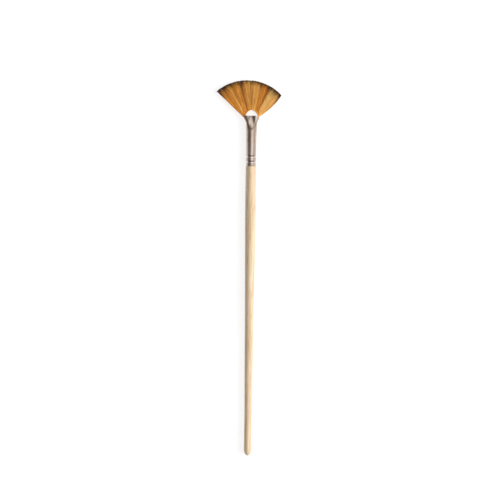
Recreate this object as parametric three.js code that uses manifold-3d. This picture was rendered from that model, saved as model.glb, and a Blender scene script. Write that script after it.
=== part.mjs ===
// A long-handled artist's fan brush. A turned birch handle carries a seamless metal ferrule, held
// by two rolled crimps. The ferrule's mouth is pressed flat, flared at its sides and pinched in the
// middle, so the filaments leave it on both sides of the pinch and close again above it. That leaves
// the half-moon hole at the foot of the fan. An epoxy plug inside the ferrule holds the filaments.
//
// All sizes are in millimetres. The brush lies flat: the handle's axis runs along +Y from its tail to
// the bristles, the fan spreads along X, and the fan's front faces up, towards +Z.
import * as THREE from "three";
import Module from "manifold-3d";
import { mergeVertices } from "three/addons/utils/BufferGeometryUtils.js";

// Handle
const HANDLE_LENGTH = 185; // tail to shoulder, the part that shows
const TAIL_RADIUS = 2.48;
const TAIL_DOME = 4.4; // length of the rounded tail
// Height and radius of the shaft's turned outline, from its waist to its belly. The line from tail to
// belly stays outside the rest, so that the brush lies on those two places alone.
const SHAFT_OUTLINE = [
  [30, 2.4],
  [95, 2.88],
  [140, 3.27],
  [163, 3.47],
];
const SHOULDER_RADIUS = 3.38;
const SHOULDER_BREAK = 0.25; // broken edge where the wood meets the metal
const TENON_LENGTH = 14;

// Ferrule
const FERRULE_RADIUS = 3.25;
const FERRULE_LENGTH = 32.4;
const FERRULE_WALL = 0.3;
const CRIMP_HEIGHTS = [2.7, 6.1]; // middle of each rolled groove, from the ferrule's lower end
const CRIMP_WIDTH = 1.7;
const CRIMP_DEPTH = 0.28;
const PRESSED_LENGTH = 10; // how far down from the lip the press flattens the tube
const MOUTH_HALF_THICKNESS = 1.6;
const MOUTH_SWELL = 0.4; // how much wider the tube gets before the flare
const FLARE_LENGTH = 3.6;
const FLARE = 1.3;
const EAR_DROP = 1.6; // how far the flared sides of the lip lie below its middle
const PINCH_DEPTH = 0.95; // how far each wall is pushed in at the middle of the mouth
const PINCH_HALF_WIDTH = 2.1;

// Fan of filaments. Heights are from the ferrule's lip, and angles open from the fan's own centre.
const BUTT_DEPTH = 13; // filaments reach this far down inside the ferrule
const FAN_CENTRE_DEPTH = 5.7;
const LEFT_SPREAD = THREE.MathUtils.degToRad(47);
const RIGHT_SPREAD = THREE.MathUtils.degToRad(45);
const TIP_RADIUS = 28.45; // fan centre to the tips on the axis
const TIP_SKEW = 2.58; // the left filaments are longer than the right ones
const TIP_CURVE = 0.98;
const RIGHT_EDGE_BOW = 1.5; // the right edge bows outward before its tips curl up
const MOON_HALF_WIDTH = 3.7; // half-moon hole, at the lip
const MOON_HEIGHT = 3.9;
const MOON_FOOT = 6.5; // below the lip, where the two halves of the tuft part
const TUFT_HALF_WIDTH = 2.35; // packed tuft, inside the round part of the ferrule
const TUFT_HALF_DEPTH = 2.1;
const MOUTH_HALF_DEPTH = 1;
const TIP_HALF_DEPTH = 0.5;
const EDGE_ROUNDING = 0.9; // 0 keeps the tuft's section a rectangle, 1 makes it an ellipse
const LAYERS = { front: 0.34, middle: 0, back: -0.34 }; // layer name to how far its locks are shifted
const LOCKS_PER_SIDE = 4; // in each layer
const LOCK_GAP = 0.14; // share of a lock's width and depth left free around it

// Plug and clearances
const PLUG_HEIGHT = 7;
const PLUG_BELOW_BUTTS = 3;
const CLEARANCE = 0.1; // between the wood, the plug and the ferrule's inner wall
const POCKET_CLEARANCE = 0.25; // share of the lock gap that each pocket in the plug takes

const ROUND_SIDES = 32;
const HANDLE_SIDES = 16; // one of its flats faces down
const LOCK_STEPS = 26;
const LIP_HEIGHT = HANDLE_LENGTH + CLEARANCE + FERRULE_LENGTH;

const { clamp, lerp, smoothstep } = THREE.MathUtils;

const wood = new THREE.MeshStandardMaterial({ color: 0xe3cba6, roughness: 0.45 });
const nickel = new THREE.MeshStandardMaterial({ color: 0xb9aea6, roughness: 0.28, metalness: 1 });
const epoxy = new THREE.MeshStandardMaterial({ color: 0xd8c79c, roughness: 0.3 });
const filament = new THREE.MeshStandardMaterial({ color: 0xcb8a3c, roughness: 0.5 });

const wasm = await Module();
wasm.setup();

// Moves each vertex of a geometry with move(point), which changes the point in place.
function warp(geometry, move) {
  const position = geometry.getAttribute("position");
  const point = new THREE.Vector3();
  for (let i = 0; i < position.count; i++) {
    move(point.fromBufferAttribute(position, i));
    position.setXYZ(i, point.x, point.y, point.z);
  }
  geometry.computeVertexNormals();
  return geometry;
}

function toManifold(geometry) {
  const bare = new THREE.BufferGeometry()
    .setAttribute("position", geometry.getAttribute("position"))
    .setIndex(geometry.index);
  const merged = mergeVertices(bare, 1e-4);
  return new wasm.Manifold(
    new wasm.Mesh({
      numProp: 3,
      vertProperties: merged.getAttribute("position").array,
      triVerts: Uint32Array.from(merged.index.array),
    }),
  );
}

function fromManifold(solid) {
  const { vertProperties, triVerts } = solid.getMesh();
  const geometry = new THREE.BufferGeometry()
    .setAttribute("position", new THREE.BufferAttribute(vertProperties, 3))
    .setIndex(new THREE.BufferAttribute(triVerts, 1));
  geometry.computeVertexNormals();
  return geometry;
}

// Depth of the rolled crimps at a height above the ferrule's lower end.
function crimpAt(height) {
  return CRIMP_HEIGHTS.reduce((depth, middle) => {
    const reach = Math.abs(height - middle) / (CRIMP_WIDTH / 2);
    return reach < 1 ? depth + CRIMP_DEPTH * Math.cos((reach * Math.PI) / 2) ** 2 : depth;
  }, 0);
}

// Heights above the ferrule's lower end where a crimped wall needs a profile point.
function crimpStations() {
  const steps = [-1, -0.6, -0.3, 0, 0.3, 0.6, 1];
  return CRIMP_HEIGHTS.flatMap((middle) => steps.map((step) => middle + (step * CRIMP_WIDTH) / 2));
}

function handleGeometry() {
  const foot = HANDLE_LENGTH + CLEARANCE; // height of the ferrule's lower end
  const tenonRadius = FERRULE_RADIUS - FERRULE_WALL - CLEARANCE;
  const dome = [0, 0.25, 0.5, 0.72, 0.88, 0.97].map((across) => {
    const drop = Math.sqrt(1 - across ** 2);
    return new THREE.Vector2(TAIL_RADIUS * across, TAIL_DOME * (1 - drop));
  });
  const shaft = [
    new THREE.Vector2(TAIL_RADIUS, TAIL_DOME),
    ...SHAFT_OUTLINE.map(([height, radius]) => new THREE.Vector2(radius, height)),
    new THREE.Vector2(SHOULDER_RADIUS, HANDLE_LENGTH - SHOULDER_BREAK),
  ];
  const tenon = [
    new THREE.Vector2(SHOULDER_RADIUS - SHOULDER_BREAK, HANDLE_LENGTH),
    new THREE.Vector2(tenonRadius, HANDLE_LENGTH),
    ...crimpStations().map((h) => new THREE.Vector2(tenonRadius - crimpAt(h), foot + h)),
    new THREE.Vector2(tenonRadius, HANDLE_LENGTH + TENON_LENGTH - 0.5),
    new THREE.Vector2(tenonRadius - 0.5, HANDLE_LENGTH + TENON_LENGTH),
    new THREE.Vector2(0, HANDLE_LENGTH + TENON_LENGTH),
  ];
  return new THREE.LatheGeometry([...dome, ...shaft, ...tenon], HANDLE_SIDES, Math.PI / HANDLE_SIDES);
}

// Outer half width of the pressed ferrule, at a depth below its lip.
function ferruleHalfWidth(depth) {
  const swell = MOUTH_SWELL * (1 - smoothstep(depth, 2, 1.8 * PRESSED_LENGTH));
  const flare = FLARE * clamp(1 - (depth - EAR_DROP) / FLARE_LENGTH, 0, 1) ** 1.7;
  return FERRULE_RADIUS + swell + flare;
}

// Outer half thickness of the pressed ferrule, at a depth below its lip.
function ferruleHalfThickness(depth) {
  return lerp(MOUTH_HALF_THICKNESS, FERRULE_RADIUS, smoothstep(depth, 0, PRESSED_LENGTH));
}

// Presses a point of the round tube's upper end into the flat, flared and pinched mouth.
function pressMouth(point) {
  const unpressedDepth = LIP_HEIGHT - point.y;
  if (unpressedDepth > 1.8 * PRESSED_LENGTH) return;
  const radius = Math.hypot(point.x, point.z);
  const across = point.x / radius;
  const through = point.z / radius;
  const inset = FERRULE_RADIUS - radius; // 0 on the outer wall, the wall's thickness on the inner one
  const nearLip = clamp(1 - unpressedDepth / PRESSED_LENGTH, 0, 1);
  const depth = unpressedDepth + EAR_DROP * Math.abs(across) ** 10 * nearLip ** 2;

  // The section goes from a circle to a rounded oblong, with a valley pinched in its middle.
  const power = lerp(1, 0.62, nearLip);
  const wide = Math.sign(across) * Math.abs(across) ** power;
  const thick = Math.sign(through) * Math.abs(through) ** power;
  const x = (ferruleHalfWidth(depth) - inset) * wide;
  const valley = PINCH_DEPTH * nearLip ** 1.5 * Math.exp(-((x / PINCH_HALF_WIDTH) ** 4));
  const z = (ferruleHalfThickness(depth) - inset - valley) * thick;
  point.set(x, LIP_HEIGHT - depth, z);
}

function ferruleGeometry() {
  const foot = HANDLE_LENGTH + CLEARANCE;
  const pressed = [18, 14, 11, 9, 7.5, 6, 4.8, 3.8, 2.9, 2.1, 1.4, 0.7].map((d) => FERRULE_LENGTH - d);
  const heights = [0, ...crimpStations(), ...pressed, FERRULE_LENGTH];
  const wall = (inset) =>
    heights.map((h) => new THREE.Vector2(FERRULE_RADIUS - inset - crimpAt(h), foot + h));
  const outer = wall(0);
  const inner = wall(FERRULE_WALL).reverse();
  const profile = [...outer, ...inner, outer[0].clone()];
  return warp(new THREE.LatheGeometry(profile, ROUND_SIDES), pressMouth);
}

// Half width of the parting between the tuft's two halves: the half-moon hole above the lip and the
// wedge that the pinch drives into the tuft below it.
function partingHalfWidth(height) {
  const hole = Math.max(0, 1 - (height / MOON_HEIGHT) ** 2) ** 0.75;
  const wedge = Math.max(0, 1 + height / MOON_FOOT) ** 1.5;
  return MOON_HALF_WIDTH * (height > 0 ? hole : wedge);
}

// Half width of the whole tuft, along a side that opens to the angle given.
function tuftHalfWidth(height, spread) {
  const fan = (height + FAN_CENTRE_DEPTH) * Math.tan(spread);
  const packed = TUFT_HALF_WIDTH;
  return height > -2 ? fan : lerp(packed, Math.max(packed, fan), smoothstep(height, -9, -2));
}

// A place in the fan. side is -1 on the left and 1 on the right, across runs from 0 at the middle to
// 1 at the fan's edge, along from 0 at the butts to 1 at the tips, and through from -1 at the back
// to 1 at the front.
function fanPoint(side, across, along, through) {
  const spread = side < 0 ? LEFT_SPREAD : RIGHT_SPREAD;
  const angle = side * spread * across;
  const tipRadius = TIP_RADIUS - TIP_SKEW * angle + TIP_CURVE * angle ** 2;
  const tipHeight = tipRadius * Math.cos(angle) - FAN_CENTRE_DEPTH;
  const fromLip = (along - 0.5) * 2;
  const height = fromLip * Math.sqrt(Math.abs(fromLip)) * (fromLip < 0 ? BUTT_DEPTH : tipHeight);

  const parting = partingHalfWidth(height);
  const edge = tuftHalfWidth(height, spread);
  const share = Math.tan(spread * across) / Math.tan(spread);
  const power = 1 + smoothstep(height, 0, MOON_HEIGHT);
  const x = (parting ** power + (edge ** power - parting ** power) * share ** power) ** (1 / power);
  const risen = clamp(height / tipHeight, 0, 1);
  const bow = side > 0 ? RIGHT_EDGE_BOW * across ** 8 * Math.sin(Math.PI * risen) : 0;

  const packedDepth = lerp(TUFT_HALF_DEPTH, MOUTH_HALF_DEPTH, smoothstep(height, -9, -1.5));
  const rounding = Math.sqrt(1 - EDGE_ROUNDING * across ** 2);
  const halfDepth = lerp(packedDepth, TIP_HALF_DEPTH, risen) * rounding;
  return new THREE.Vector3(side * (x + bow), LIP_HEIGHT + height, through * halfDepth);
}

// Where a layer's locks part from each other, from 0 at the fan's middle to 1 at its edge.
function lockEdge(index, shift) {
  return (index + shift * Math.sin((Math.PI * index) / LOCKS_PER_SIDE)) / LOCKS_PER_SIDE;
}

// One lock of filaments as a closed solid. grow widens it by a share of the gap around it, and
// from and to say how much of the filaments' length it covers.
function lockGeometry(side, index, layerIndex, shift, { grow = 0, from = 0, to = 1 } = {}) {
  const gap = LOCK_GAP * (1 - grow);
  const inner = lockEdge(index, shift);
  const outer = lockEdge(index + 1, shift);
  const margin = (gap / 2) * (outer - inner);
  const layerDepth = 2 / 3; // three layers share the depth from -1 to 1
  const middle = 1 - layerDepth * (layerIndex + 0.5);
  const block = new THREE.BoxGeometry(1, 1, 1, 1, LOCK_STEPS, 1);
  warp(block, (p) => {
    const across = lerp(inner + margin, outer - margin, side * p.x + 0.5);
    const through = middle + p.z * layerDepth * (1 - gap);
    p.copy(fanPoint(side, across, lerp(from, to, p.y + 0.5), through));
  });
  return block;
}

// Calls make(name, side, index, layerIndex, shift) for every lock, from the fan's left to its right.
function eachLock(make) {
  Object.entries(LAYERS).forEach(([layer, shift], layerIndex) => {
    for (let place = 0; place < 2 * LOCKS_PER_SIDE; place++) {
      const side = place < LOCKS_PER_SIDE ? -1 : 1;
      const index = side < 0 ? LOCKS_PER_SIDE - 1 - place : place - LOCKS_PER_SIDE;
      make(`bristles_${layer}_${place + 1}`, side, index, layerIndex, shift);
    }
  });
}

// The epoxy plug: a disc that fills the tube, with a pocket for the butt of every lock.
function plugGeometry() {
  const radius = FERRULE_RADIUS - FERRULE_WALL - CLEARANCE;
  const bottom = LIP_HEIGHT - BUTT_DEPTH - PLUG_BELOW_BUTTS;
  const disc = new THREE.LatheGeometry(
    [
      new THREE.Vector2(0, bottom),
      new THREE.Vector2(radius, bottom),
      new THREE.Vector2(radius, bottom + PLUG_HEIGHT),
      new THREE.Vector2(0, bottom + PLUG_HEIGHT - 0.6),
    ],
    ROUND_SIDES,
  );
  let plug = toManifold(disc);
  eachLock((name, side, index, layerIndex, shift) => {
    const reach = { grow: POCKET_CLEARANCE, from: -0.003, to: 0.2 };
    plug = plug.subtract(toManifold(lockGeometry(side, index, layerIndex, shift, reach)));
  });
  return fromManifold(plug);
}

function buildBrush() {
  const brush = new THREE.Group();
  const add = (name, geometry, material) => {
    const mesh = new THREE.Mesh(geometry, material);
    mesh.name = name;
    brush.add(mesh);
  };
  add("handle", handleGeometry(), wood);
  add("ferrule", ferruleGeometry(), nickel);
  add("epoxy_plug", plugGeometry(), epoxy);
  eachLock((name, side, index, layerIndex, shift) =>
    add(name, lockGeometry(side, index, layerIndex, shift), filament),
  );

  // Lay it on the ground, with the middle of its outline over the part's origin.
  const outline = new THREE.Box3().setFromObject(brush);
  const centre = outline.getCenter(new THREE.Vector3());
  brush.position.set(-centre.x, -centre.y, -outline.min.z);
  return brush;
}

const part = new THREE.Group();
part.add(buildBrush());
export default part;
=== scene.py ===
"""An artist's fan brush, lying flat under soft studio light and seen from straight above.

Lengths are written in millimetres and turned into metres by MM where a mesh is made. Along the brush,
heights are measured from the ferrule's lip towards the bristles, and stations from the handle's tail.
"""

import math
import random

import bpy
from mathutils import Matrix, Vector


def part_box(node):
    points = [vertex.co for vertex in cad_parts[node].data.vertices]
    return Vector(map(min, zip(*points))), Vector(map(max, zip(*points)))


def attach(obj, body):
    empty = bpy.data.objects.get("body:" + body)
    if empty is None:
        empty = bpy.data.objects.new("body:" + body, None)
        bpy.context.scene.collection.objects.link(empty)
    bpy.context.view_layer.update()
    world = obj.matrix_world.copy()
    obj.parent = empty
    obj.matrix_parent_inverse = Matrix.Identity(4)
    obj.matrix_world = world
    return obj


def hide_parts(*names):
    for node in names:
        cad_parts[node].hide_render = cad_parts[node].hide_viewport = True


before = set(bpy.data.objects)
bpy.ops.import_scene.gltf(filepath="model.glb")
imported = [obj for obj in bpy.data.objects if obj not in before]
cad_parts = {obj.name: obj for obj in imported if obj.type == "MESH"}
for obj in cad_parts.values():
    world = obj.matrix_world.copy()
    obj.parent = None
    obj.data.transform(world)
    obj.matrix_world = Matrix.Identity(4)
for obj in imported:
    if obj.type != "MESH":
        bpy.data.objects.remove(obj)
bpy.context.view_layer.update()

MM = 0.001

# Camera, in metres, with the stations in millimetres as for the brush
LENS = 85
SENSOR_WIDTH = 36
PICTURE_WIDTH = 0.32
PICTURE_STATION = 131.6  # the place on the handle's axis at the middle of the picture
LEAN = math.radians(0.67)  # the brush leans to the right

FLOOR_GLOW = 0.82  # the floor is a light table, so the brush leaves next to no shadow
SEED = 7

# Ferrule
FERRULE_RADIUS = 3.25
FERRULE_WALL = 0.3
CRIMPS = (2.7, 6.1)  # middle of each rolled groove, from the ferrule's lower end
CRIMP_WIDTH = 1.7
CRIMP_DEPTH = 0.34
PRESSED_LENGTH = 10.0
MOUTH_HALF_THICKNESS = 1.6
MOUTH_SWELL = 0.4
FLARE_LENGTH = 3.6
FLARE = 1.3
EAR_DROP = 1.6
PINCH_DEPTH = 0.95
PINCH_HALF_WIDTH = 1.7

# Handle: (station, radius) of the turned outline, up to the ferrule
HANDLE_OUTLINE = (
    (4.4, 2.48),
    (8, 2.5),
    (16, 2.44),
    (28, 2.4),
    (45, 2.55),
    (70, 2.72),
    (95, 2.9),
    (120, 3.15),
    (145, 3.38),
    (163, 3.46),
    (184.75, 3.38),
)
TAIL_RADIUS = 2.48
TAIL_DOME = 4.4
SHOULDER = 185.0
TENON_RADIUS = 2.85
TENON_LENGTH = 14.0

# Fan of filaments
BUTT_DEPTH = 13.0
FAN_CENTRE_DEPTH = 5.7
SPREAD = {-1: math.radians(47), 1: math.radians(45)}
TIP_RADIUS = 28.45
TIP_SKEW = 2.58
TIP_CURVE = 0.98
EDGE_BOW = 1.5
MOON_HALF_WIDTH = 3.7
MOON_HEIGHT = 3.9
MOON_FOOT = 6.5
TUFT_HALF_WIDTH = 2.35
TUFT_HALF_DEPTH = 2.1
MOUTH_HALF_DEPTH = 1.0
TIP_HALF_DEPTH = 0.5
EDGE_ROUNDING = 0.9
LAYERS = {"front": 0.34, "middle": 0.0, "back": -0.34}
LOCKS_PER_SIDE = 4

FILAMENTS = 110  # in each lock
# heights along a filament where it has a ring of vertices, close together round the half-moon
BELOW_LIP = (-8.5, -5.0, -2.6, -1.2, -0.4)
ROUND_MOON = (0.3, 1.0, 1.7, 2.3, 2.8, 3.2, 3.5, 3.75, 4.0, 4.5, 5.6)
TO_TIP = (8.0, 11.0, 14.0, 16.5, 18.5, 20.0, 21.2, 22.0, 22.75)
FILAMENT_HEIGHTS = BELOW_LIP + ROUND_MOON + TO_TIP
FILAMENT_STEPS = len(FILAMENT_HEIGHTS) - 1
# tone of the eight locks of a layer, from the fan's left to its right, with painted light and shade:
# the right-hand locks are painted lighter, as the light from the right would catch them, and one is
# painted darker
LOCK_TONES_WITH_PAINTED_LIGHT = (0.5, 0.58, 0.5, 0.6, 0.66, 0.46, 0.82, 0.8)
FILAMENT_SIDES = 4
ROOT_RADIUS = 0.064
TIP_END_RADIUS = 0.042

ferrule_low, ferrule_high = (Vector(corner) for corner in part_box("ferrule"))
handle_low, handle_high = (Vector(corner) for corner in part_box("handle"))
AXIS_X = (ferrule_low.x + ferrule_high.x) / 2
AXIS_Z = (handle_low.z + handle_high.z) / 2
TAIL_Y = handle_low.y
LIP_Y = ferrule_high.y
LIP_STATION = (LIP_Y - TAIL_Y) / MM
FOOT_STATION = (ferrule_low.y - TAIL_Y) / MM


def clamp(value, low=0.0, high=1.0):
    return max(low, min(high, value))


def lerp(a, b, share):
    return a + (b - a) * share


def smoothstep(value, low, high):
    share = clamp((value - low) / (high - low))
    return share * share * (3 - 2 * share)


def place(x, station, z):
    """A point in metres, from millimetres beside, along and above the handle's axis."""
    return (AXIS_X + x * MM, TAIL_Y + station * MM, AXIS_Z + z * MM)


def new_object(name, vertices, faces, material, smooth=True):
    mesh = bpy.data.meshes.new(name)
    mesh.from_pydata(vertices, [], faces)
    mesh.validate()
    mesh.polygons.foreach_set("use_smooth", [smooth] * len(mesh.polygons))
    mesh.materials.append(material)
    obj = bpy.data.objects.new(name, mesh)
    bpy.context.scene.collection.objects.link(obj)
    return obj


# ---------------------------------------------------------------- materials


def srgb(red, green, blue):
    """A linear colour with alpha, from sRGB values of 0 to 255."""
    return tuple(
        (v / 255 / 12.92) if v / 255 <= 0.04045 else ((v / 255 + 0.055) / 1.055) ** 2.4
        for v in (red, green, blue)
    ) + (1.0,)


class Nodes:
    """A short way to build a material's node tree."""

    def __init__(self, name):
        self.material = bpy.data.materials.new(name)
        self.material.use_nodes = True
        self.tree = self.material.node_tree
        self.shader = self.tree.nodes["Principled BSDF"]
        self.coordinates = self.tree.nodes.new("ShaderNodeTexCoord").outputs["Object"]

    def set(self, **values):
        for name, value in values.items():
            self.shader.inputs[name.replace("_", " ")].default_value = value

    def link(self, source, target):
        self.tree.links.new(source, target)

    def scaled(self, x, y, z):
        mapping = self.tree.nodes.new("ShaderNodeMapping")
        mapping.inputs["Scale"].default_value = (x, y, z)
        self.link(self.coordinates, mapping.inputs["Vector"])
        return mapping.outputs["Vector"]

    def noise(self, vector, scale=1.0, detail=4.0, distortion=0.0):
        node = self.tree.nodes.new("ShaderNodeTexNoise")
        node.inputs["Scale"].default_value = scale
        node.inputs["Detail"].default_value = detail
        node.inputs["Distortion"].default_value = distortion
        self.link(vector, node.inputs["Vector"])
        return node.outputs["Fac"]

    def ramp(self, source, *stops):
        node = self.tree.nodes.new("ShaderNodeValToRGB")
        elements = node.color_ramp.elements
        while len(elements) < len(stops):
            elements.new(0.5)
        for element, (position, colour) in zip(elements, stops):
            element.position = position
            element.color = colour
        self.link(source, node.inputs["Fac"])
        return node.outputs["Color"]

    def mix(self, share, a, b, mode="MIX"):
        node = self.tree.nodes.new("ShaderNodeMix")
        node.data_type = "RGBA"
        node.blend_type = mode
        for value, socket in ((share, 0), (a, 6), (b, 7)):
            if isinstance(value, (float, tuple)):
                node.inputs[socket].default_value = value
            else:
                self.link(value, node.inputs[socket])
        return node.outputs[2]

    def range(self, source, low, high, from_low=0.0, from_high=1.0):
        node = self.tree.nodes.new("ShaderNodeMapRange")
        node.inputs["From Min"].default_value = from_low
        node.inputs["From Max"].default_value = from_high
        node.inputs["To Min"].default_value = low
        node.inputs["To Max"].default_value = high
        self.link(source, node.inputs["Value"])
        return node.outputs["Result"]

    def attribute(self, name):
        node = self.tree.nodes.new("ShaderNodeAttribute")
        node.attribute_name = name
        return node.outputs["Fac"]

    def bump(self, height, strength, distance):
        node = self.tree.nodes.new("ShaderNodeBump")
        node.inputs["Strength"].default_value = strength
        node.inputs["Distance"].default_value = distance
        self.link(height, node.inputs["Height"])
        self.link(node.outputs["Normal"], self.shader.inputs["Normal"])


def birch():
    """Pale birch under clear lacquer, with grain and pores along the handle."""
    nodes = Nodes("birch")
    grain = nodes.noise(nodes.scaled(900, 22, 900), detail=5.0, distortion=0.4)
    broad = nodes.noise(nodes.scaled(160, 9, 160), detail=3.0)
    pores = nodes.noise(nodes.scaled(2600, 90, 2600), detail=2.0)
    tone = nodes.ramp(
        broad,
        (0.3, srgb(226, 206, 180)),
        (0.7, srgb(243, 230, 208)),
    )
    streaks = nodes.ramp(grain, (0.34, srgb(214, 184, 144)), (0.6, srgb(252, 249, 243)))
    colour = nodes.mix(0.5, tone, streaks, "MULTIPLY")
    flecks = nodes.ramp(pores, (0.34, srgb(190, 150, 108)), (0.46, srgb(255, 255, 255)))
    colour = nodes.mix(0.45, colour, flecks, "MULTIPLY")
    nodes.link(colour, nodes.shader.inputs["Base Color"])
    nodes.link(nodes.range(grain, 0.3, 0.48), nodes.shader.inputs["Roughness"])
    nodes.set(Coat_Weight=0.7, Coat_Roughness=0.12, Coat_IOR=1.5, Coat_Tint=srgb(255, 248, 236))
    nodes.bump(grain, 0.25, 0.00004)
    return nodes.material


def nickel():
    """Nickel-plated tube: faint drawing lines along it, warm tarnish, small dents in the plating."""
    nodes = Nodes("nickel")
    drawn = nodes.noise(nodes.scaled(5200, 120, 5200), detail=3.0)
    cloud = nodes.noise(nodes.scaled(260, 130, 260), detail=5.0, distortion=0.6)
    spots = nodes.noise(nodes.scaled(1500, 900, 1500), detail=2.0)
    plate = nodes.ramp(
        cloud,
        (0.34, srgb(192, 170, 154)),
        (0.66, srgb(216, 203, 194)),
    )
    lines = nodes.ramp(drawn, (0.3, srgb(226, 214, 206)), (0.6, srgb(255, 255, 255)))
    colour = nodes.mix(0.5, plate, lines, "MULTIPLY")
    tarnish = nodes.ramp(spots, (0.26, srgb(150, 116, 90)), (0.36, srgb(255, 255, 255)))
    colour = nodes.mix(0.3, colour, tarnish, "MULTIPLY")
    nodes.link(colour, nodes.shader.inputs["Base Color"])
    nodes.link(nodes.range(cloud, 0.1, 0.22), nodes.shader.inputs["Roughness"])
    nodes.set(Metallic=1.0)
    nodes.bump(nodes.mix(0.5, drawn, cloud), 0.08, 0.00004)
    return nodes.material


def resin():
    """Cured epoxy, amber and slightly cloudy."""
    nodes = Nodes("resin")
    cloud = nodes.noise(nodes.scaled(700, 700, 700), detail=3.0)
    colour = nodes.ramp(cloud, (0.3, srgb(178, 140, 84)), (0.7, srgb(214, 184, 128)))
    nodes.link(colour, nodes.shader.inputs["Base Color"])
    nodes.link(nodes.range(cloud, 0.12, 0.3), nodes.shader.inputs["Roughness"])
    nodes.set(Transmission_Weight=0.25)
    nodes.bump(cloud, 0.2, 0.0001)
    return nodes.material


def nylon():
    """Golden filaments, each with its own tone, that turn dark brown towards their tips, with painted
    light on the right-hand locks and painted shade between the locks.

    The meshes carry three values: a tone for each filament, which holds the painted light and shade of
    its lock; dark, which grows towards a tip; and depth, which is 1 at the outside of a lock and 0
    where it meets the next one, and sets the painted shade between locks."""
    nodes = Nodes("nylon")
    tone_with_painted_light = nodes.attribute("tone_with_painted_light")
    gold = nodes.ramp(
        tone_with_painted_light,
        (0.0, srgb(190, 100, 36)),
        (0.3, srgb(240, 158, 60)),
        (0.62, srgb(255, 194, 92)),
        (1.0, srgb(255, 230, 160)),
    )
    along = nodes.noise(nodes.scaled(420, 260, 420), detail=3.0)
    uneven = nodes.ramp(along, (0.3, srgb(228, 200, 170)), (0.62, srgb(255, 255, 255)))
    gold = nodes.mix(0.35, gold, uneven, "MULTIPLY")
    # painted shade: filaments darken to red-brown where one lock meets the next
    painted_shade_between_locks = nodes.range(nodes.attribute("depth"), 0.6, 0.0)
    gold = nodes.mix(painted_shade_between_locks, gold, srgb(158, 76, 26))
    brown = nodes.ramp(tone_with_painted_light, (0.0, srgb(42, 19, 9)), (1.0, srgb(88, 47, 24)))
    colour = nodes.mix(nodes.attribute("dark"), gold, brown)
    nodes.link(colour, nodes.shader.inputs["Base Color"])
    nodes.link(nodes.range(along, 0.5, 0.65), nodes.shader.inputs["Roughness"])
    nodes.set(Specular_IOR_Level=0.12)
    nodes.bump(nodes.noise(nodes.scaled(9000, 9000, 9000), detail=1.0), 0.1, 0.00001)
    return nodes.material


def paper():
    """The pale studio floor."""
    nodes = Nodes("paper")
    fibre = nodes.noise(nodes.scaled(120, 120, 120), detail=4.0)
    colour = nodes.ramp(fibre, (0.3, srgb(134, 134, 134)), (0.7, srgb(142, 142, 142)))
    nodes.link(colour, nodes.shader.inputs["Base Color"])
    nodes.set(Roughness=0.9, Specular_IOR_Level=0.1)
    nodes.set(Emission_Color=(1, 1, 1, 1), Emission_Strength=FLOOR_GLOW)
    return nodes.material


# ---------------------------------------------------------------- handle and ferrule


def crimp_at(height):
    """Depth of the rolled crimps, at a height above the ferrule's lower end."""
    depth = 0.0
    for middle in CRIMPS:
        reach = abs(height - middle) / (CRIMP_WIDTH / 2)
        if reach < 1:
            depth += CRIMP_DEPTH * math.cos(reach * math.pi / 2) ** 2
    return depth


def outline_radius(station):
    """Radius of the handle between the tail's dome and the shoulder, smooth through its outline."""
    points = HANDLE_OUTLINE
    last = len(points) - 1
    k = next(i for i in range(last) if station <= points[i + 1][0] or i == last - 1)
    (s0, r0), (s1, r1) = points[k], points[k + 1]
    before, after = points[max(k - 1, 0)], points[min(k + 2, last)]
    t = clamp((station - s0) / (s1 - s0))
    slope_in = (r1 - before[1]) / (s1 - before[0]) * (s1 - s0)
    slope_out = (after[1] - r0) / (after[0] - s0) * (s1 - s0)
    return (
        r0 * (2 * t**3 - 3 * t**2 + 1)
        + slope_in * (t**3 - 2 * t**2 + t)
        + r1 * (3 * t**2 - 2 * t**3)
        + slope_out * (t**3 - t**2)
    )


def handle_rings():
    """(station, radius) from the tail to the tenon's end."""
    rings = []
    for k in range(15):
        angle = k / 14 * math.pi / 2
        rings.append((TAIL_DOME * (1 - math.cos(angle)), TAIL_RADIUS * math.sin(angle)))
    for k in range(1, 121):
        station = lerp(TAIL_DOME, SHOULDER - 0.25, k / 120)
        rings.append((station, outline_radius(station)))
    rings += [(SHOULDER - 0.08, 3.3), (SHOULDER, 3.16), (SHOULDER, TENON_RADIUS)]
    for k in range(29):
        height = k * 0.35
        rings.append((FOOT_STATION + height, TENON_RADIUS - crimp_at(height)))
    rings += [(SHOULDER + TENON_LENGTH - 0.5, TENON_RADIUS), (SHOULDER + TENON_LENGTH, 2.35)]
    return rings


def lathe(name, rings, material, sides=64):
    vertices, faces = [], []
    for station, radius in rings:
        for k in range(sides):
            angle = 2 * math.pi * k / sides
            vertices.append(place(radius * math.cos(angle), station, radius * math.sin(angle)))
    for ring in range(len(rings) - 1):
        for k in range(sides):
            a, b = ring * sides + k, ring * sides + (k + 1) % sides
            faces.append((a, a + sides, b + sides, b))
    faces.append(tuple(range(sides)))
    top = (len(rings) - 1) * sides
    faces.append(tuple(range(top + sides - 1, top - 1, -1)))
    return new_object(name, vertices, faces, material)


def press_mouth(across, through, inset, from_lip):
    """A point of the ferrule's pressed wall. across and through are its direction on the round tube."""
    near_lip = clamp(1 - from_lip / PRESSED_LENGTH)
    depth = from_lip + EAR_DROP * abs(across) ** 10 * near_lip**2
    swell = MOUTH_SWELL * (1 - smoothstep(depth, 2, 1.8 * PRESSED_LENGTH))
    flare = FLARE * clamp(1 - (depth - EAR_DROP) / FLARE_LENGTH) ** 1.7
    half_width = FERRULE_RADIUS + swell + flare - inset
    flat = lerp(MOUTH_HALF_THICKNESS, FERRULE_RADIUS, smoothstep(depth, 0, PRESSED_LENGTH)) - inset
    power = lerp(1, 0.62, near_lip)
    x = half_width * math.copysign(abs(across) ** power, across)
    valley = PINCH_DEPTH * near_lip**1.5 * math.exp(-((x / PINCH_HALF_WIDTH) ** 4))
    z = (flat - valley) * math.copysign(abs(through) ** power, through)
    return place(x, LIP_STATION - depth, z)


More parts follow.
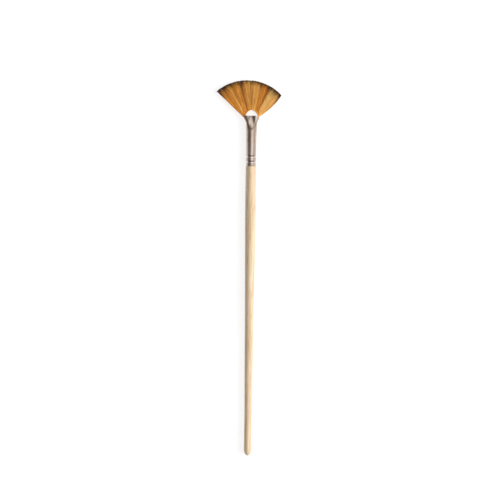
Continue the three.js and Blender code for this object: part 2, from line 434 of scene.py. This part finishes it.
def ferrule(material, sides=128):
    """The ferrule's outer and inner walls, joined by rounded rims."""
    length = LIP_STATION - FOOT_STATION
    heights = [k * 0.16 for k in range(63)]
    heights += [10 + k * 0.8 for k in range(1, 14)]
    heights += [lerp(20.4, length - 0.06, (k / 50) ** 0.85) for k in range(1, 51)]
    rim = FERRULE_WALL / 2
    loop = [(h, 0.0) for h in heights]
    loop += [(length, rim * 0.5), (length + 0.03, rim), (length, rim * 1.5)]
    loop += [(h, FERRULE_WALL) for h in reversed(heights)]
    vertices, faces = [], []
    for height, inset in loop:
        for k in range(sides):
            angle = 2 * math.pi * k / sides
            across, through = math.cos(angle), math.sin(angle)
            from_lip = length - height
            if from_lip < 1.8 * PRESSED_LENGTH:
                vertices.append(press_mouth(across, through, inset, from_lip))
            else:
                radius = FERRULE_RADIUS - inset - crimp_at(height)
                vertices.append(place(radius * across, FOOT_STATION + height, radius * through))
    count = len(loop)
    for ring in range(count):
        after = (ring + 1) % count
        for k in range(sides):
            beside = (k + 1) % sides
            faces.append(
                (ring * sides + k, after * sides + k, after * sides + beside, ring * sides + beside)
            )
    return new_object("ferrule_plated", vertices, faces, material)


# ---------------------------------------------------------------- filaments


def parting_half_width(height):
    """Half width of the half-moon hole above the lip, and of the wedge in the tuft below it."""
    if height > 0:
        return MOON_HALF_WIDTH * max(0.0, 1 - (height / MOON_HEIGHT) ** 2) ** 0.75
    return MOON_HALF_WIDTH * max(0.0, 1 + height / MOON_FOOT) ** 1.5


def tuft_half_width(height, spread):
    fan = (height + FAN_CENTRE_DEPTH) * math.tan(spread)
    if height > -2:
        return fan
    return lerp(TUFT_HALF_WIDTH, max(TUFT_HALF_WIDTH, fan), smoothstep(height, -9, -2))


def fan_point(side, across, along, through, trim=0.0):
    """A place in the fan, in millimetres beside the axis, above the lip and in front of the axis.

    across is 0 at the fan's middle and 1 at its edge, along is 0 at the butts and 1 at the tips, and
    through is -1 at the back and 1 at the front. trim shortens the filament."""
    spread = SPREAD[side]
    angle = side * spread * across
    tip_radius = TIP_RADIUS - TIP_SKEW * angle + TIP_CURVE * angle**2 - trim
    tip_height = tip_radius * math.cos(angle) - FAN_CENTRE_DEPTH
    from_lip = (along - 0.5) * 2
    reach = tip_height if from_lip > 0 else BUTT_DEPTH
    height = from_lip * math.sqrt(abs(from_lip)) * reach
    parting = parting_half_width(height)
    edge = tuft_half_width(height, spread)
    share = clamp(math.tan(spread * across) / math.tan(spread), 0.0, 1.1)
    power = 1 + smoothstep(height, 0, MOON_HEIGHT)
    x = (parting**power + (edge**power - parting**power) * share**power) ** (1 / power)
    risen = clamp(height / tip_height)
    bow = EDGE_BOW * across**8 * math.sin(math.pi * risen) if side > 0 else 0.0
    packed = lerp(TUFT_HALF_DEPTH, MOUTH_HALF_DEPTH, smoothstep(height, -9, -1.5))
    rounding = math.sqrt(max(0.1, 1 - EDGE_ROUNDING * across**2))
    half_depth = lerp(packed, TIP_HALF_DEPTH, risen) * rounding
    return side * (x + bow), height, through * half_depth


def along_at(height):
    """Where a filament on the axis passes a height: 0 at its butt, 0.5 at the lip and 1 at its tip."""
    reach = FILAMENT_HEIGHTS[-1] if height > 0 else BUTT_DEPTH
    return 0.5 + 0.5 * math.copysign((abs(height) / reach) ** (2 / 3), height)


def lock_edge(index, shift):
    return (index + shift * math.sin(math.pi * index / LOCKS_PER_SIDE)) / LOCKS_PER_SIDE


def filament_path(rng, side, bounds, band, lock):
    """The points of one filament, its tone with its lock's painted light, how far its dark tip reaches
    down, and where it lies in its lock, which sets the painted shade between locks.
    """
    inner, outer = bounds
    share = rng.random()
    across = lerp(inner, outer, share)
    through = lerp(*band, rng.random())
    gather = lock["gather"] * rng.uniform(0.5, 1.0)
    drift = rng.gauss(0, 0.016) if rng.random() > 0.06 else rng.gauss(0, 0.04)
    wave, phase = rng.gauss(0, 0.004), rng.uniform(0, 2 * math.pi)
    trim = abs(rng.gauss(0, 0.22)) + (rng.uniform(0.4, 2.0) if rng.random() < 0.1 else 0.0)
    trim += lock["trim"] * abs(share - 0.5) * 2
    lift = rng.gauss(0, 0.12)
    points = []
    for height in FILAMENT_HEIGHTS:
        along = along_at(height)
        free = smoothstep(along, 0.62, 1.0)
        here = across + gather * free * (lerp(inner, outer, 0.5) - across)
        here += drift * smoothstep(along, 0.55, 1.0)
        here += wave * smoothstep(along, 0.6, 0.75) * math.sin(phase + 9 * along)
        here = abs(here) if here < 1 else 2 - here
        depth = clamp(through + lift * free + lock["lift"] * free, -1.0, 1.0)
        points.append(fan_point(side, here, along, depth, trim))
    # a filament's tone, which takes on its lock's painted light and shade
    tone_with_painted_light = clamp(lock["tone_with_painted_light"] + rng.gauss(0, 0.2))
    side_reach = 1.3 + 2.4 * across**1.6
    dark = side_reach * lock["dark"] * rng.uniform(0.35, 1.9)
    dark += 7 * lock["wedge"] * max(0.0, abs(share - lock["part"]) * 2 - 0.6)
    streak = 0.5 + 0.5 * math.sin(lock["comb"] * share + lock["phase"])
    tone_with_painted_light = clamp(tone_with_painted_light - 0.3 * streak**3)
    # last, how far the filament lies from its lock's edges, which sets the painted shade between locks
    return points, tone_with_painted_light, dark, 1 - 0.7 * (abs(share - lock["part"]) * 2) ** 4


def build_lock(name, position, side, index, layer_index, shift, material):
    """One lock of separate tapered filaments, as a single mesh."""
    rng = random.Random(f"{SEED}{name}")
    bounds = (lock_edge(index, shift), lock_edge(index + 1, shift))
    middle = 1 - (layer_index + 0.5) * 2 / 3
    band = (middle - 0.31, middle + 0.31)
    lock = {
        "gather": rng.uniform(0.0, 0.06),
        "trim": rng.uniform(0.0, 0.5),
        "lift": rng.uniform(-0.1, 0.1),
        # the lock's tone from the list, with its painted light and shade
        "tone_with_painted_light": LOCK_TONES_WITH_PAINTED_LIGHT[position] + rng.uniform(-0.06, 0.06),
        "dark": rng.uniform(0.7, 1.25),
        "wedge": rng.uniform(0.2, 1.0),
        "part": rng.uniform(0.35, 0.65),
        "comb": rng.uniform(12, 30),
        "phase": rng.uniform(0, 6),
    }
    vertices, faces = [], []
    values = {"tone_with_painted_light": [], "dark": [], "depth": []}
    for _ in range(FILAMENTS):
        points, tone_with_painted_light, dark, depth = filament_path(rng, side, bounds, band, lock)
        base = len(vertices)
        tip = Vector(points[-1])
        turn = rng.uniform(0, math.pi / 2)
        for k, point in enumerate(points):
            before, after = points[max(k - 1, 0)], points[min(k + 1, FILAMENT_STEPS)]
            forward = (Vector(after) - Vector(before)).normalized()
            sideways = forward.cross(Vector((0, 0, 1))).normalized()
            upward = sideways.cross(forward)
            taper = smoothstep(k / FILAMENT_STEPS, 0.55, 1.0)
            radius = lerp(ROOT_RADIUS, TIP_END_RADIUS, taper)
            to_tip = (tip - Vector(point)).length
            browning = 1 - smoothstep(to_tip, 0.1 * dark, 1.5 * dark)
            for s in range(FILAMENT_SIDES):
                angle = turn + 2 * math.pi * s / FILAMENT_SIDES
                offset = radius * (math.cos(angle) * sideways + math.sin(angle) * upward)
                x, height, z = Vector(point) + offset
                vertices.append(place(x, LIP_STATION + height, z))
                values["tone_with_painted_light"].append(tone_with_painted_light)
                values["dark"].append(browning)
                values["depth"].append(depth)
        for k in range(FILAMENT_STEPS):
            for s in range(FILAMENT_SIDES):
                a = base + k * FILAMENT_SIDES + s
                b = base + k * FILAMENT_SIDES + (s + 1) % FILAMENT_SIDES
                faces.append((a, b, b + FILAMENT_SIDES, a + FILAMENT_SIDES))
        end = base + FILAMENT_STEPS * FILAMENT_SIDES
        faces.append(tuple(range(end, end + FILAMENT_SIDES)))
        faces.append(tuple(range(base + FILAMENT_SIDES - 1, base - 1, -1)))
    obj = new_object(name, vertices, faces, material)
    for key, numbers in values.items():
        obj.data.attributes.new(key, "FLOAT", "POINT").data.foreach_set("value", numbers)
    return obj


# ---------------------------------------------------------------- the brush


def add_piece(piece, node):
    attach(piece, "root")
    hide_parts(node)


def build_brush():
    add_piece(lathe("handle_turned", handle_rings(), birch()), "handle")
    add_piece(ferrule(nickel()), "ferrule")
    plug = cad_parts["epoxy_plug"]
    plug.data.materials.clear()
    plug.data.materials.append(resin())
    filament = nylon()
    for layer_index, (layer, shift) in enumerate(LAYERS.items()):
        for position in range(2 * LOCKS_PER_SIDE):
            side = -1 if position < LOCKS_PER_SIDE else 1
            index = LOCKS_PER_SIDE - 1 - position if side < 0 else position - LOCKS_PER_SIDE
            name = f"lock_{layer}_{position + 1}"
            lock = build_lock(name, position, side, index, layer_index, shift, filament)
            add_piece(lock, f"bristles_{layer}_{position + 1}")


# ---------------------------------------------------------------- studio


def build_floor():
    half = 3.0
    corners = [(-half, -half, 0), (half, -half, 0), (half, half, 0), (-half, half, 0)]
    floor = new_object("floor", corners, [(0, 1, 2, 3)], paper(), smooth=False)


def area_light(name, location, target, size, power):
    data = bpy.data.lights.new(name, "AREA")
    data.shape = "RECTANGLE"
    data.size, data.size_y = size
    data.energy = power
    light = bpy.data.objects.new(name, data)
    light.location = location
    light.visible_glossy = False
    light.rotation_mode = "QUATERNION"
    light.rotation_quaternion = (Vector(target) - Vector(location)).to_track_quat("-Z", "Y")
    bpy.context.scene.collection.objects.link(light)


def light_ramp(tree, direction, stops):
    """A level of light for each direction, from -1 to 1 along one axis of the world."""
    to_share = tree.nodes.new("ShaderNodeMapRange")
    to_share.inputs["From Min"].default_value = -1
    ramp = tree.nodes.new("ShaderNodeValToRGB")
    elements = ramp.color_ramp.elements
    while len(elements) < len(stops):
        elements.new(0.5)
    for element, (position, level) in zip(elements, stops):
        element.position = position
        element.color = (level, level * 0.985, level * 0.97, 1)
    tree.links.new(direction, to_share.inputs["Value"])
    tree.links.new(to_share.outputs["Result"], ramp.inputs["Fac"])
    return ramp.outputs["Color"]


def build_world():
    """Soft white light from the right and above. It is dim from the left and from either end of the
    brush, so that the polished ferrule shows a shaded side and its crimps show dark. Behind the floor
    it looks plain white."""
    world = bpy.data.worlds.new("studio")
    world.use_nodes = True
    bpy.context.scene.world = world
    tree = world.node_tree
    split = tree.nodes.new("ShaderNodeSeparateXYZ")
    coordinates = tree.nodes.new("ShaderNodeTexCoord")
    tree.links.new(coordinates.outputs["Generated"], split.inputs["Vector"])
    left_to_right = (
        (0.0, 0.3),
        (0.1, 0.2),
        (0.28, 0.16),
        (0.44, 0.5),
        (0.62, 1.3),
        (0.8, 1.15),
        (0.95, 0.7),
    )
    tail_to_tip = ((0.0, 0.2), (0.28, 0.25), (0.4, 1.0), (0.6, 1.0), (0.7, 0.35), (0.85, 1.4))
    both = tree.nodes.new("ShaderNodeMix")
    both.data_type = "RGBA"
    both.blend_type = "MULTIPLY"
    both.inputs[0].default_value = 1.0
    tree.links.new(light_ramp(tree, split.outputs["X"], left_to_right), both.inputs[6])
    tree.links.new(light_ramp(tree, split.outputs["Y"], tail_to_tip), both.inputs[7])
    shown = tree.nodes.new("ShaderNodeMix")
    shown.data_type = "RGBA"
    shown.inputs[7].default_value = (0.96, 0.96, 0.96, 1)
    light_path = tree.nodes.new("ShaderNodeLightPath")
    tree.links.new(light_path.outputs["Is Camera Ray"], shown.inputs[0])
    tree.links.new(both.outputs[2], shown.inputs[6])
    tree.links.new(shown.outputs[2], tree.nodes["Background"].inputs["Color"])


def build_camera():
    scene = bpy.context.scene
    data = bpy.data.cameras.new("camera")
    data.lens = LENS
    data.sensor_width = SENSOR_WIDTH
    camera = bpy.data.objects.new("camera", data)
    scene.collection.objects.link(camera)
    distance = PICTURE_WIDTH * LENS / SENSOR_WIDTH
    camera.location = (AXIS_X, TAIL_Y + PICTURE_STATION * MM, AXIS_Z + distance)
    camera.rotation_euler = (0, 0, LEAN)
    scene.camera = camera


def build_studio():
    build_floor()
    build_world()
    area_light("key", (0.95, -0.1, 0.75), (0, 0, 0), (0.7, 0.9), 12)
    scene = bpy.context.scene
    scene.view_settings.view_transform = "Standard"
    scene.view_settings.exposure = 0.0
    build_camera()


build_brush()
build_studio()
